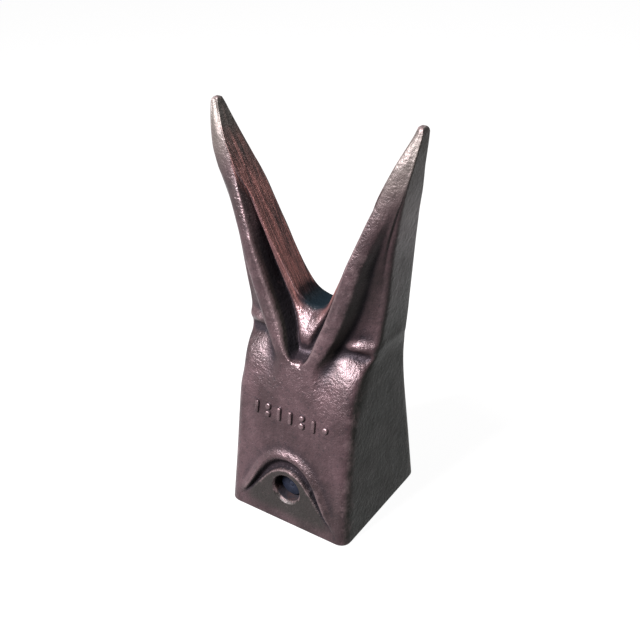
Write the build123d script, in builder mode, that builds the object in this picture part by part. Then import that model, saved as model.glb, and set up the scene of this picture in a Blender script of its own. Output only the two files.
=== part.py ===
from build123d import *
import math
import os

os.makedirs("parts", exist_ok=True)

# Twin-point bucket tooth, 13 to 16 tonne class.
# Origin: centre of the socket mouth, +Z towards the points, -Y the face the pin is pushed out of.

mouth_width = 90.0
mouth_depth = 89.0
tooth_height = 261.0
tip_spread = 140.0
front_lean = 0.142
rear_lean = 0.085
crotch_height = 141.0
crotch_radius = 13.2
tip_gap = 131.5

socket_width = 62.0
socket_depth_y = 60.0
socket_end_width = 40.0
socket_end_depth_y = 20.0
socket_length = 88.0
socket_corner = 6.0
socket_end_shift = 2.0

pin_bore = 19.0
pin_height = 26.0
pin_clearance = 0.05
pin_half_length = 37.0
pin_chamfer = 1.5
groove_depth = 1.5
groove_width = 3.4
bore_chamfer = 1.2

washer_outer = 31.0
washer_length = 8.0
washer_gap = 0.3
shell_wall = 1.6
shell_lip = 1.2
ring_wire = 3.0
ring_gap = 7.0
rubber_clear = 0.5

brow_foot = 38.0
brow_half = 26.5
brow_top = 50.0
brow_low = 6.0
brow_rise = 1.8
brow_groove = 2.0
pad_half = 22.0
pad_top = 38.5
pad_rise = 1.4

tally_step = 8.6
tally_drop = 9.5
tally_tall = 8.6
tally_bar = 2.8
tally_rise = 1.2

half_d = mouth_depth / 2
pin_radius = pin_bore / 2 - pin_clearance
# The rows below are for a tooth 90 x 89 x 261 mm and 140 mm over the points.
wide = mouth_width / 90.0
deep = mouth_depth / 89.0
tall = tooth_height / 261.0
splay = tip_spread / 140.0

# Socket block, mouth to shoulder: height, side, front, rear, corner radius.
block_rows = [
    (0.0, 45.0, 44.5, 44.5, 7.0),
    (45.0, 42.3, 38.1, 40.7, 7.0),
    (86.0, 41.7, 32.3, 37.2, 8.0),
    (93.0, 41.7, 30.0, 36.5, 8.5),
    (99.5, 41.4, 26.2, 35.6, 9.0),
    (106.0, 40.4, 21.4, 34.2, 9.0),
    (112.0, 38.6, 15.6, 32.2, 8.0),
    (117.0, 36.0, 9.5, 29.6, 7.0),
]
# Fork, shoulder to points, one half: height, side, then front and rear corner, corner radius, then
# x with front and rear y of the rail, of the channel inside it and of the rim, then the middle.
root_rows = [
    (88.0, 40.6, 28.0, 35.2, 6.0, 17.0, 29.4, 36.1, 11.5, 29.8, 36.3, 5.5, 30.0, 36.4, 30.1, 36.5),
    (104.0, 41.0, 21.5, 34.2, 6.0, 14.0, 27.2, 35.2, 8.5, 27.5, 35.4, 4.0, 27.7, 35.5, 27.8, 35.6),
    (109.0, 41.4, 18.6, 33.8, 6.0, 13.6, 25.8, 34.6, 8.0, 26.2, 34.4, 3.8, 26.4, 34.3, 26.5, 34.2),
    (113.0, 42.0, 16.2, 33.2, 5.8, 14.0, 24.0, 33.6, 8.4, 20.8, 31.6, 4.0, 20.0, 31.0, 19.4, 30.6),
    (118.0, 43.0, 13.8, 32.6, 5.5, 15.4, 21.9, 32.4, 9.6, 12.6, 28.0, 4.6, 12.0, 27.2, 11.6, 26.8),
    (123.0, 44.4, 11.8, 31.7, 5.2, 16.9, 20.6, 31.2, 10.8, 8.0, 25.6, 5.2, 8.3, 24.6, 8.6, 24.2),
    (129.0, 46.4, 10.0, 30.3, 5.0, 18.8, 19.6, 29.7, 12.2, 4.6, 23.4, 6.0, 5.8, 22.2, 6.6, 21.4),
]
prong_rows = [
    (129.0, 46.4, 10.0, 30.3, 5.0, 18.8, 19.6, 29.7, 12.2, 4.6, 23.4, 6.0, 5.8, 22.2, 6.6, 21.4),
    (135.0, 48.2, 9.3, 28.4, 4.8, 21.4, 19.0, 28.0, 14.6, 3.2, 20.6, 7.8, 4.4, 19.0, 4.0, 18.2),
    (142.0, 49.7, 9.0, 26.5, 4.5, 24.0, 18.5, 26.4, 17.2, 2.6, 18.2, 10.0, 3.8, 16.2, 2.4, 15.2),
    (151.0, 51.4, 9.1, 24.5, 4.2, 27.4, 18.0, 24.8, 21.0, 3.4, 15.4, 14.0, 6.2, 13.4, 5.6, 12.8),
    (161.0, 52.9, 9.4, 22.9, 4.0, 31.0, 17.4, 23.2, 24.8, 4.8, 13.2, 18.0, 8.2, 11.6, 8.0, 11.2),
    (180.0, 55.2, 10.6, 20.8, 4.0, 37.6, 15.3, 20.4, 32.4, 7.0, 11.0, 27.0, 9.4, 10.0, 9.2, 9.8),
    (198.0, 57.8, 11.4, 17.4, 3.5, 45.4, 12.4, 16.4, 40.6, 8.2, 10.4, 36.0, 9.8, 9.4, 9.6, 9.2),
    (216.0, 60.6, 12.8, 14.0, 3.0, 53.2, 10.8, 12.6, 49.6, 9.8, 10.4, 45.0, 10.6, 9.2, 10.4, 9.0),
    (229.0, 63.4, 12.0, 10.0, 2.5, 58.8, 10.6, 9.4, 55.6, 10.2, 8.6, 52.0, 10.0, 8.0, 9.8, 7.8),
    (244.0, 67.0, 8.6, 5.4, 2.0, 63.6, 8.3, 5.2, 61.0, 8.0, 5.0, 58.0, 7.7, 4.7, 7.4, 4.5),
    (261.0, 70.0, 3.0, 1.6, 1.2, 68.0, 3.2, 1.8, 66.5, 3.3, 1.9, 64.0, 3.4, 2.0, 3.5, 2.1),
]
shoulder = 105.0

# The retainer washer backs onto the socket's rear wall; its top edge is the part nearest the wall.
washer_share = (pin_height + washer_outer / 2) / socket_length
wall_y = (1 - washer_share) * socket_depth_y / 2
wall_y += washer_share * (socket_end_shift + socket_end_depth_y / 2)
washer_centre = wall_y - washer_gap - washer_length / 2
tally_height = block_rows[2][0] * tall - tally_drop

# A shallower or taller block leans its faces less or more.
front_slope = front_lean * deep / tall
rear_slope = rear_lean * deep / tall
front_angle = math.atan(front_slope)
rear_angle = math.atan(rear_slope)
pad_front = half_d - front_slope * pin_height + pad_rise
pad_rear = half_d - rear_slope * pin_height + pad_rise
front = Plane(
    origin=(0, -half_d, 0),
    x_dir=(1, 0, 0),
    z_dir=(0, -math.cos(front_angle), math.sin(front_angle)),
)
rear = Plane(
    origin=(0, half_d, 0),
    x_dir=(-1, 0, 0),
    z_dir=(0, math.cos(rear_angle), math.sin(rear_angle)),
)

# The V between the points: a round crotch with straight walls tangent to it.
crotch_centre = crotch_height + crotch_radius
wall_dx = tip_gap / 2
wall_dz = tooth_height - crotch_centre
wall_angle = math.atan2(wall_dz, wall_dx) + math.asin(crotch_radius / math.hypot(wall_dx, wall_dz))
touch_x = crotch_radius * math.sin(wall_angle)
touch_z = crotch_centre - crotch_radius * math.cos(wall_angle)
over = 30.0
over_x = wall_dx + over / math.tan(wall_angle)

with BuildPart() as tooth_point:
    for z, side, yf, yr, rad in block_rows:
        with BuildSketch(Plane.XY.offset(z * tall)):
            with BuildLine():
                Line((0, -yf * deep), (side * wide - rad, -yf * deep))
                ThreePointArc((side * wide - rad, -yf * deep),
                              (side * wide - 0.293 * rad, -yf * deep + 0.293 * rad),
                              (side * wide, -yf * deep + rad))
                Line((side * wide, -yf * deep + rad), (side * wide, yr * deep - rad))
                ThreePointArc((side * wide, yr * deep - rad),
                              (side * wide - 0.293 * rad, yr * deep - 0.293 * rad),
                              (side * wide - rad, yr * deep))
                Line((side * wide - rad, yr * deep), (0, yr * deep))
                mirror(about=Plane.YZ)
            make_face()
    loft(ruled=True)
    for rows, straight in ((root_rows, True), (prong_rows, False)):
        for z, s, yf, yr, rad, rx, rf, rr, fx, ff, fr, tx, tf, tr, mf, mr in rows:
            kx = wide if z < shoulder else splay
            with BuildSketch(Plane.XY.offset(z * tall)):
                with BuildLine():
                    Polyline((0, -mf * deep), (tx * kx, -tf * deep), (fx * kx, -ff * deep),
                             (rx * kx, -rf * deep), (s * kx - rad, -yf * deep))
                    ThreePointArc((s * kx - rad, -yf * deep),
                                  (s * kx - 0.293 * rad, -yf * deep + 0.293 * rad),
                                  (s * kx, -yf * deep + rad))
                    Line((s * kx, -yf * deep + rad), (s * kx, yr * deep - rad))
                    ThreePointArc((s * kx, yr * deep - rad),
                                  (s * kx - 0.293 * rad, yr * deep - 0.293 * rad),
                                  (s * kx - rad, yr * deep))
                    Polyline((s * kx - rad, yr * deep), (rx * kx, rr * deep), (fx * kx, fr * deep),
                             (tx * kx, tr * deep), (0, mr * deep))
                    mirror(about=Plane.YZ)
                make_face()
        loft(ruled=straight)
    with BuildSketch(Plane.XZ):
        with BuildLine():
            ThreePointArc((-touch_x, touch_z), (0, crotch_height), (touch_x, touch_z))
            Polyline((touch_x, touch_z), (over_x, tooth_height + over),
                     (-over_x, tooth_height + over), (-touch_x, touch_z))
        make_face()
    extrude(amount=mouth_depth, both=True, mode=Mode.SUBTRACT)
    # Eyebrow ridge, the groove under it and the flat pad round the pin bore, on both faces.
    for face in (front, rear):
        with BuildSketch(face.offset(-brow_groove)):
            with BuildLine():
                Spline((0, brow_top), (0.46 * brow_half, brow_top - 3.6),
                       (0.8 * brow_half, brow_top - 13), (brow_half, pin_height - 2),
                       (0.8 * brow_foot, 0.58 * pin_height), (brow_foot, brow_low))
                Line((brow_foot, brow_low), (0, brow_low))
                mirror(about=Plane.YZ)
            make_face()
        extrude(amount=brow_groove + brow_rise)
        with BuildSketch(face.offset(brow_rise)):
            with BuildLine():
                Spline((0, brow_top - 3), (0.44 * brow_half, brow_top - 6.8),
                       (0.74 * brow_half, brow_top - 15.4), (brow_half - 2.6, pin_height - 4),
                       (0.8 * brow_foot - 2.2, 0.54 * pin_height), (brow_foot - 3, brow_low))
                Line((brow_foot - 3, brow_low), (0, brow_low))
                mirror(about=Plane.YZ)
            make_face()
        extrude(amount=-(brow_rise + brow_groove), mode=Mode.SUBTRACT)
        with BuildSketch(face.offset(-2 * brow_groove)):
            with BuildLine():
                Spline((0, pad_top), (0.5 * pad_half, pad_top - 3.4),
                       (0.82 * pad_half, pad_top - 10), (pad_half, pin_height - 6),
                       (brow_foot - 9, 0.48 * pin_height), (brow_foot - 3, brow_low))
                Line((brow_foot - 3, brow_low), (0, brow_low))
                mirror(about=Plane.YZ)
            make_face()
        extrude(amount=2 * brow_groove + pad_rise)
    # Foundry tally: a row of plain bars and dots raised on the front face.
    with BuildSketch(front.offset(-tally_rise)):
        for k in (-3, -1, 0, 2):
            with Locations((k * tally_step, tally_height)):
                SlotOverall(tally_tall, tally_bar, rotation=90)
        for k, side in ((-2, 1), (-2, -1), (1, 1), (1, -1), (3, 0)):
            with Locations((k * tally_step, tally_height + side * tally_tall * 0.3)):
                Circle(tally_bar * 0.75)
    extrude(amount=2 * tally_rise)
    # Socket for the adapter nose.
    with BuildSketch(Plane.XY):
        RectangleRounded(socket_width, socket_depth_y, socket_corner)
    with BuildSketch(Plane.XY.offset(socket_length)):
        with Locations((0, socket_end_shift)):
            RectangleRounded(socket_end_width, socket_end_depth_y, socket_corner)
    loft(mode=Mode.SUBTRACT)
    # Pin bore through both walls, with a chamfered rim at each pad.
    with BuildSketch(Plane.XZ):
        with Locations((0, pin_height)):
            Circle(pin_bore / 2)
    extrude(amount=mouth_depth, both=True, mode=Mode.SUBTRACT)
    for rim, way in ((-pad_front, 1), (pad_rear, -1)):
        with BuildSketch(Plane.YZ):
            with BuildLine():
                Polyline((rim - way, pin_height),
                         (rim - way, pin_height + pin_bore / 2 + bore_chamfer + 1),
                         (rim + way * bore_chamfer, pin_height + pin_bore / 2),
                         (rim + way * bore_chamfer, pin_height),
                         close=True)
            make_face()
        revolve(axis=Axis((0, 0, pin_height), (0, 1, 0)), mode=Mode.SUBTRACT)

tooth_point.part.label = "tooth_point"
export_step(tooth_point.part, "parts/tooth_point.step")

# Plain lock pin: chamfered ends and one snap groove where the retainer washer sits.
with BuildPart() as lock_pin:
    with BuildSketch(Plane.YZ):
        with BuildLine():
            Polyline((-pin_half_length, pin_height),
                     (-pin_half_length, pin_height + pin_radius - pin_chamfer),
                     (-pin_half_length + pin_chamfer, pin_height + pin_radius),
                     (washer_centre - groove_width / 2, pin_height + pin_radius),
                     (washer_centre - groove_width / 2, pin_height + pin_radius - groove_depth),
                     (washer_centre + groove_width / 2, pin_height + pin_radius - groove_depth),
                     (washer_centre + groove_width / 2, pin_height + pin_radius),
                     (pin_half_length - pin_chamfer, pin_height + pin_radius),
                     (pin_half_length, pin_height + pin_radius - pin_chamfer),
                     (pin_half_length, pin_height),
                     close=True)
        make_face()
    revolve(axis=Axis((0, 0, pin_height), (0, 1, 0)))

lock_pin.part.label = "lock_pin"
export_step(lock_pin.part, "parts/lock_pin.step")

wire_inner = pin_radius - groove_depth + 0.05
wire_outer = wire_inner + ring_wire
rubber_inner = pin_radius + rubber_clear
shell_inner = washer_outer / 2 - shell_wall
washer_front = washer_centre - washer_length / 2

# Pressed-steel shell of the retainer washer, open at the front, lipped at the back.
with BuildPart() as retainer_shell:
    with BuildSketch(Plane.XZ.offset(-washer_front)):
        with Locations((0, pin_height)):
            Circle(washer_outer / 2)
            Circle(shell_inner, mode=Mode.SUBTRACT)
    extrude(amount=-washer_length)
    with BuildSketch(Plane.XZ.offset(-(washer_front + washer_length - shell_lip))):
        with Locations((0, pin_height)):
            Circle(shell_inner + shell_wall / 2)
            Circle(rubber_inner + 1.2, mode=Mode.SUBTRACT)
    extrude(amount=-shell_lip)

retainer_shell.part.label = "retainer_shell"
export_step(retainer_shell.part, "parts/retainer_shell.step")

# Rubber cushion bonded in the shell, with an inner channel that holds the spring ring.
with BuildPart() as retainer_cushion:
    with BuildSketch(Plane.XZ.offset(-washer_front)):
        with Locations((0, pin_height)):
            Circle(shell_inner)
            Circle(rubber_inner, mode=Mode.SUBTRACT)
    extrude(amount=-(washer_length - shell_lip))
    with BuildSketch(Plane.XZ.offset(-(washer_centre - ring_wire / 2))):
        with Locations((0, pin_height)):
            Circle(wire_outer)
    extrude(amount=-ring_wire, mode=Mode.SUBTRACT)

retainer_cushion.part.label = "retainer_cushion"
export_step(retainer_cushion.part, "parts/retainer_cushion.step")

# Split spring ring that snaps into the pin's groove.
with BuildPart() as spring_ring:
    with BuildSketch(Plane.XZ.offset(-(washer_centre - ring_wire / 2))):
        with Locations((0, pin_height)):
            Circle(wire_outer)
            Circle(wire_inner, mode=Mode.SUBTRACT)
        with Locations((0, pin_height - wire_outer)):
            Rectangle(ring_gap, 2 * ring_wire + groove_depth + 4, mode=Mode.SUBTRACT)
    extrude(amount=-ring_wire)

spring_ring.part.label = "spring_ring"
export_step(spring_ring.part, "parts/spring_ring.step")
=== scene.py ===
import bpy
import math
import numpy as np
import bmesh
from mathutils import Matrix, Vector, kdtree


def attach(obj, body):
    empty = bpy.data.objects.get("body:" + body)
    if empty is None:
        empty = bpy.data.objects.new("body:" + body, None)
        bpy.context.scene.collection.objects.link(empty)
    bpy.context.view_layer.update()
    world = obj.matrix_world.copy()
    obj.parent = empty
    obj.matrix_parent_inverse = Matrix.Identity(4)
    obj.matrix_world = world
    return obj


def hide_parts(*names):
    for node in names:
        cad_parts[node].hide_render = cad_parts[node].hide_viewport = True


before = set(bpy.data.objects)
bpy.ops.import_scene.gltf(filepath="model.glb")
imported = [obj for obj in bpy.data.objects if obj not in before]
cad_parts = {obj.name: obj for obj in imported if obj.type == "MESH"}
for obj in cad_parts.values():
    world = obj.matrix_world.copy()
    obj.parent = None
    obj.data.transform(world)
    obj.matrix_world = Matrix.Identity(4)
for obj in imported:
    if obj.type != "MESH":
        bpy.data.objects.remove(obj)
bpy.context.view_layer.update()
mm = 0.001


def smoothStep(lo, hi, x):
    # 3t^2 - 2t^3 with t running from 0 at lo to 1 at hi
    t = np.clip((x - lo) / (hi - lo), 0.0, 1.0)
    return t * t * (3.0 - 2.0 * t)


def bump(x, centre, width):
    # bell curve exp(-(distance / width)^2)
    return np.exp(-((x - centre) / width) ** 2)


def steadyCurve(knots, values, at):
    # cubic through the knots; its slope is the harmonic mean of the slopes beside it, so it never overshoots
    knots = np.asarray(knots, float)
    values = np.asarray(values, float)
    run = np.diff(knots)
    rise = np.diff(values) / run
    slope = np.zeros(len(knots))
    same = rise[:-1] * rise[1:] > 0
    w1 = 2 * run[1:] + run[:-1]
    w2 = run[1:] + 2 * run[:-1]
    safe = np.where(same, rise[:-1], 1.0), np.where(same, rise[1:], 1.0)
    slope[1:-1] = np.where(same, (w1 + w2) / (w1 / safe[0] + w2 / safe[1]), 0.0)
    slope[0], slope[-1] = rise[0], rise[-1]
    k = np.clip(np.searchsorted(knots, at, side="right") - 1, 0, len(run) - 1)
    t = (at - knots[k]) / run[k]
    t = np.clip(t, 0.0, 1.0)
    a = values[k] * (1 + 2 * t) * (1 - t) ** 2 + slope[k] * run[k] * t * (1 - t) ** 2
    b = values[k + 1] * t * t * (3 - 2 * t) - slope[k + 1] * run[k] * t * t * (1 - t)
    return a + b


def lumpiness(points, seed, wave, count=26):
    # sum of plane sine waves of random direction and phase, about 1 high, with wave as the usual wavelength
    rng = np.random.default_rng(seed)
    way = rng.normal(size=(count, 3))
    way /= np.linalg.norm(way, axis=1)[:, None]
    size = 2 * math.pi / (wave * rng.uniform(0.6, 1.8, count))
    phase = rng.uniform(0, 2 * math.pi, count)
    return np.sin(points @ (way * size[:, None]).T + phase).sum(1) * math.sqrt(2.0 / count) * 0.7


def blurAlong(grid, spread, axis, closed=False):
    # weighted mean of neighbours along one axis, weights from a bell curve, the ends repeated or wrapped
    reach = int(3 * spread + 1)
    steps = np.arange(-reach, reach + 1)
    weight = np.exp(-0.5 * (steps / spread) ** 2)
    weight /= weight.sum()
    mode = "wrap" if closed else "edge"
    pad = [(0, 0)] * grid.ndim
    pad[axis] = (reach, reach)
    wide = np.pad(grid, pad, mode=mode)
    out = np.zeros_like(grid)
    for step, w in zip(steps + reach, weight):
        part = [slice(None)] * grid.ndim
        part[axis] = slice(step, step + grid.shape[axis])
        out += w * wide[tuple(part)]
    return out


def gridFaces(rows, columns, start=0, closed=False):
    # quads of a rows x columns grid of points numbered row by row
    r = np.arange(rows - 1)[:, None]
    c = np.arange(columns if closed else columns - 1)[None, :]
    nextC = (c + 1) % columns
    quads = np.stack([r * columns + c, r * columns + nextC,
                      (r + 1) * columns + nextC, (r + 1) * columns + c], axis=-1)
    return quads.reshape(-1, 4) + start


def newMesh(name, points, quads):
    mesh = bpy.data.meshes.new(name)
    mesh.from_pydata(np.asarray(points, float).tolist(), [], quads.tolist())
    mesh.update()
    piece = bpy.data.objects.new(name, mesh)
    bpy.context.scene.collection.objects.link(piece)
    return piece


def weld(piece, distance, outward=True):
    work = bmesh.new()
    work.from_mesh(piece.data)
    bmesh.ops.remove_doubles(work, verts=work.verts, dist=distance)
    bmesh.ops.dissolve_degenerate(work, edges=work.edges, dist=distance)
    if outward:
        bmesh.ops.recalc_face_normals(work, faces=work.faces)
    work.to_mesh(piece.data)
    work.free()
    piece.data.update()


def readPoints(mesh):
    flat = np.empty(len(mesh.vertices) * 3)
    mesh.vertices.foreach_get("co", flat)
    return flat.reshape(-1, 3)


def writePoints(mesh, points):
    mesh.vertices.foreach_set("co", np.asarray(points, float).ravel())
    mesh.update()


def readEdges(mesh):
    flat = np.empty(len(mesh.edges) * 2, np.int64)
    mesh.edges.foreach_get("vertices", flat)
    return flat.reshape(-1, 2)


def neighbourMean(values, edges, count):
    total = np.zeros_like(values)
    number = np.bincount(edges.ravel(), minlength=count).astype(float)
    for axis in range(values.shape[1]):
        total[:, axis] = (np.bincount(edges[:, 0], values[edges[:, 1], axis], count)
                          + np.bincount(edges[:, 1], values[edges[:, 0], axis], count))
    return total / np.maximum(number, 1)[:, None]


# The forging, one half: x is doubled by mirroring. Each row is a height and what the section is there.
forging = {
    "height": 261.0,
    "crotch": 141.0,
    "crotchRadius": 13.2,
    "gapAtTop": 134.0,
    "mouthRound": 1.3,
    "tipRound": 3.6,
    # height, side half width, front corner y, rear corner y
    "corner": [
        (0, 46.2, 45.9, 46.6), (34, 44.8, 40.9, 43.0), (61, 44.1, 36.8, 39.2), (81, 43.9, 33.2, 36.0),
        (94, 44.0, 29.8, 33.9), (104, 44.2, 26.2, 32.6), (110, 44.3, 22.9, 32.1), (114, 44.6, 19.4, 31.6),
        (117, 45.1, 16.0, 30.6), (119, 45.6, 13.6, 29.6), (121, 46.1, 11.9, 28.6), (123, 46.6, 11.1, 27.8),
        (125, 47.1, 11.1, 27.3), (127.5, 47.6, 10.4, 27.0), (130, 47.9, 9.4, 26.7), (134, 48.4, 8.8, 26.4),
        (140, 49.2, 8.5, 25.8), (150, 50.8, 8.5, 23.8), (167, 53.0, 8.7, 21.8), (180, 54.4, 9.4, 20.8),
        (190, 56.0, 10.1, 19.0), (200, 57.8, 10.7, 17.0), (210, 60.0, 11.4, 13.8), (220, 62.5, 12.3, 10.6),
        (230, 65.0, 12.6, 6.8), (240, 67.2, 11.0, 3.4), (250, 68.8, 8.6, 2.3), (255, 69.4, 7.0, 1.9),
        (261, 70.0, 5.0, 1.2)],
    # height, y of the front centre line: face, lip of the pocket, its floor, the tongue, the crotch's rim
    # and from there up the rim of the gap
    "rim": [
        (0, 45.9), (34, 40.9), (61, 36.9), (81, 34.1), (94, 31.9), (104, 29.6), (109, 28.2), (111.0, 27.3),
        (112.2, 26.0), (113.2, 23.2), (114.2, 20.2), (115.6, 17.6), (117.6, 16.6), (120, 16.8), (123, 17.4),
        (126, 16.9), (130, 15.0), (135, 11.4), (138.5, 7.8), (141, 4.2), (144, 4.9), (151, 7.4), (163, 8.0),
        (172, 9.2), (187, 10.2), (197, 10.0), (205, 9.8), (210, 10.4), (215, 12.2), (220, 13.8), (224, 14.2),
        (230, 13.6), (240, 12.2), (250, 8.6), (255, 6.4), (261, 4.6)],
    # height, x and y of the rib's outer side, where the pocket's valley begins
    "rib": [
        (0, 5.0, 45.9), (81, 4.6, 34.1), (94, 3.6, 31.8), (104, 2.2, 29.5), (109, 1.6, 28.2),
        (111.0, 1.4, 27.2), (112.2, 1.5, 25.9), (113.2, 1.6, 23.0), (114.2, 1.7, 20.0), (115.6, 1.8, 17.4),
        (117.6, 2.0, 16.4), (121, 2.3, 16.9), (125, 3.4, 16.8), (130, 5.4, 15.0), (138, 8.8, 11.8),
        (144, 12.0, 10.4), (151, 15.6, 10.2), (158, 19.0, 10.3), (165, 22.2, 10.5), (178, 27.9, 10.8),
        (187, 31.9, 10.8), (197, 36.9, 10.5), (205, 40.5, 10.3), (210, 42.8, 10.9), (215, 45.2, 12.4),
        (220, 47.6, 13.9), (230, 52.6, 13.7), (240, 57.4, 12.3), (250, 62.2, 8.7), (261, 67.2, 4.7)],
    # height, valley x, front y, rear y
    "channel": [
        (0, 9.0, 45.9, 46.6), (81, 8.4, 34.0, 36.2), (94, 6.6, 31.7, 34.2), (104, 4.0, 29.4, 33.2),
        (109, 2.7, 28.1, 32.4), (111.0, 2.6, 27.1, 32.0), (112.2, 3.0, 25.6, 31.8), (113.2, 3.4, 22.6, 31.2),
        (114.2, 3.8, 19.8, 30.4), (115.6, 4.5, 17.2, 28.8), (117.6, 5.1, 15.8, 27.0), (121, 6.0, 14.8, 24.4),
        (127, 8.0, 12.2, 20.4), (133, 10.4, 10.0, 16.8), (138, 12.6, 8.6, 14.8), (144, 15.4, 7.8, 13.0),
        (151, 18.7, 7.8, 11.8), (158, 21.8, 8.0, 11.0), (165, 24.6, 8.2, 10.4), (172, 27.3, 8.2, 10.2),
        (178, 29.8, 8.1, 10.0), (187, 33.4, 8.4, 9.8), (200, 38.9, 9.1, 9.5), (210, 43.3, 10.2, 9.3),
        (215, 45.6, 12.0, 8.8), (220, 47.9, 13.8, 8.2), (230, 52.9, 13.7, 6.2), (240, 57.7, 12.4, 4.3),
        (250, 62.5, 8.8, 2.7), (261, 67.4, 4.8, 1.3)],
    # height, rail x, front y, rear y
    "rail": [
        (0, 13.0, 45.9, 46.6), (81, 12.0, 34.0, 36.1), (94, 9.6, 31.7, 34.2), (104, 6.4, 29.3, 33.2),
        (109, 4.2, 28.0, 32.6), (111.2, 3.8, 27.3, 32.3), (112.2, 5.0, 27.2, 32.2), (113.6, 6.3, 27.1, 32.0),
        (116, 7.9, 27.0, 31.0), (119, 9.4, 26.7, 29.6), (123, 10.9, 26.0, 27.8), (130, 13.3, 24.6, 24.8),
        (140, 17.2, 23.2, 20.6), (148, 20.3, 22.6, 18.6), (156, 23.2, 22.4, 17.0), (170, 28.2, 22.5, 15.8),
        (180, 31.8, 22.1, 14.8), (190, 35.8, 20.4, 13.4), (200, 39.8, 18.6, 12.2), (210, 43.9, 16.9, 11.2),
        (215, 46.1, 15.8, 10.4), (220, 48.3, 14.9, 9.4), (230, 53.3, 13.8, 6.6), (240, 58.1, 12.4, 4.4),
        (250, 62.8, 8.8, 2.8), (255, 65.2, 6.6, 2.1), (261, 67.8, 4.9, 1.4)],
    # height, x and y of the flat band's outer side
    "band": [
        (0, 20.0, 45.9), (81, 18.0, 34.0), (94, 15.4, 31.4), (100, 14.0, 29.9), (106, 13.2, 28.5),
        (110, 13.6, 27.5), (114, 15.2, 26.7), (118, 17.4, 26.2), (124, 20.6, 25.3), (130, 23.6, 24.5),
        (140, 28.0, 23.4), (150, 31.8, 22.8), (160, 35.2, 22.4), (170, 38.4, 22.0), (180, 41.2, 21.2),
        (190, 45.0, 19.4), (200, 49.0, 17.6), (210, 53.2, 15.7), (216, 56.2, 14.6), (222, 59.2, 13.9),
        (230, 62.4, 13.0), (240, 65.4, 11.3), (250, 67.0, 8.7), (255, 67.8, 7.0), (261, 69.0, 5.0)],
    # height, x and y of the hollow outside the band
    "hollow": [
        (0, 27.0, 45.9), (81, 25.0, 33.8), (94, 21.6, 30.4), (100, 20.0, 28.0), (106, 19.4, 25.4),
        (110, 19.8, 23.2), (114, 21.2, 21.2), (118, 23.0, 19.4), (122, 24.8, 17.6), (126, 26.6, 16.4),
        (130, 28.4, 15.6), (140, 33.0, 13.8), (150, 36.8, 13.0), (160, 39.8, 12.8), (170, 42.6, 13.0),
        (180, 45.0, 13.2), (190, 48.4, 13.0), (200, 52.0, 13.4), (210, 55.6, 13.7), (216, 58.0, 13.7),
        (222, 60.6, 13.5), (230, 63.2, 12.9), (240, 65.8, 11.2), (250, 67.4, 8.7), (261, 69.2, 5.0)],
    # height, x and y of the shoulder lobe, and of the prong's outer face above it
    "lobe": [
        (0, 34.0, 45.9), (81, 33.5, 33.5), (88, 33.0, 32.0), (94, 32.5, 30.3),
        (100, 32.0, 28.5), (106, 31.4, 26.3),
        (110, 31.2, 24.4), (114, 31.4, 21.8), (117, 31.8, 19.4), (119, 32.0, 17.4), (121, 32.3, 15.6),
        (123, 32.7, 14.3), (125, 33.3, 14.3), (127, 34.0, 14.0), (130, 35.0, 12.5), (134, 36.4, 11.5),
        (140, 38.6, 10.8), (150, 41.8, 10.4), (160, 44.4, 10.4), (170, 46.8, 10.6), (180, 48.8, 11.1),
        (190, 51.4, 11.6), (200, 54.2, 12.1), (210, 57.4, 12.6), (216, 59.4, 12.9), (222, 61.8, 13.0),
        (230, 64.0, 12.7), (240, 66.3, 11.1), (250, 67.9, 8.6), (261, 69.4, 5.0)],
    # height, y of the rear centre line and from the crotch up the rear rim of the gap
    "rearRim": [
        (0, 46.6), (61, 39.5), (81, 36.3), (94, 34.5), (106, 33.2), (111, 32.5), (114, 30.8), (118, 27.8),
        (124, 24.0), (132, 19.6), (141, 15.4), (150, 12.9), (158, 11.2), (166, 10.5), (176, 10.2),
        (186, 9.8), (205, 9.2), (215, 8.6), (225, 7.1), (235, 5.2), (245, 3.4), (255, 1.9), (261, 1.2)],
    # height, x and y of the rear face between rail and corner
    "rearLobe": [
        (0, 30.0, 46.6), (61, 29.0, 39.4), (94, 26.0, 34.2), (110, 26.0, 32.0), (116, 27.0, 30.0),
        (122, 28.5, 26.6), (130, 31.0, 24.6), (140, 34.0, 22.4), (150, 37.0, 20.0), (160, 39.6, 18.4),
        (175, 43.4, 17.4), (190, 47.4, 15.8), (200, 50.4, 14.4), (210, 53.6, 12.6), (220, 57.0, 10.2),
        (230, 60.4, 6.8), (240, 63.6, 4.0), (250, 66.2, 2.6), (261, 69.0, 1.3)],
    # height, corner round-off
    "cornerRound": [(0, 6.6), (81, 6.6), (104, 6.0), (114, 5.0), (124, 4.2), (160, 3.6), (200, 3.2),
                    (229, 1.9), (245, 1.2), (261, 0.8)],
    "crown": [(0, 0.0), (100, 0.0), (114, 0.5), (140, 0.9), (200, 0.8), (222, 0.5), (261, 0.3)],
    # columns in each stretch from the middle of the front round to the middle of the rear
    "columns": [4, 7, 8, 13, 10, 9, 9, 8, 9, 16, 9, 11, 12, 9, 7, 4],
    # stretches of rows: from, to, step
    "rows": [(0, 54, 0.68), (54, 66, 1.0), (66, 90, 0.9), (90, 108, 0.9), (108, 117, 0.5), (117, 141, 0.8),
             (141, 261, 1.3)],
    "wallColumns": 16,
}


def table(name, at, column=1):
    rows = np.array(forging[name], float)
    return steadyCurve(rows[:, 0], rows[:, column], at)


gapRise = forging["height"] - forging["crotch"] - forging["crotchRadius"]
gapSlope = (math.atan2(gapRise, forging["gapAtTop"] / 2)
            + math.asin(forging["crotchRadius"] / math.hypot(gapRise, forging["gapAtTop"] / 2)))
arcLength = forging["crotchRadius"] * gapSlope
straightLength = (forging["height"] - forging["crotch"]
                  - forging["crotchRadius"] * (1 - math.cos(gapSlope))) / math.sin(gapSlope)


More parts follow.
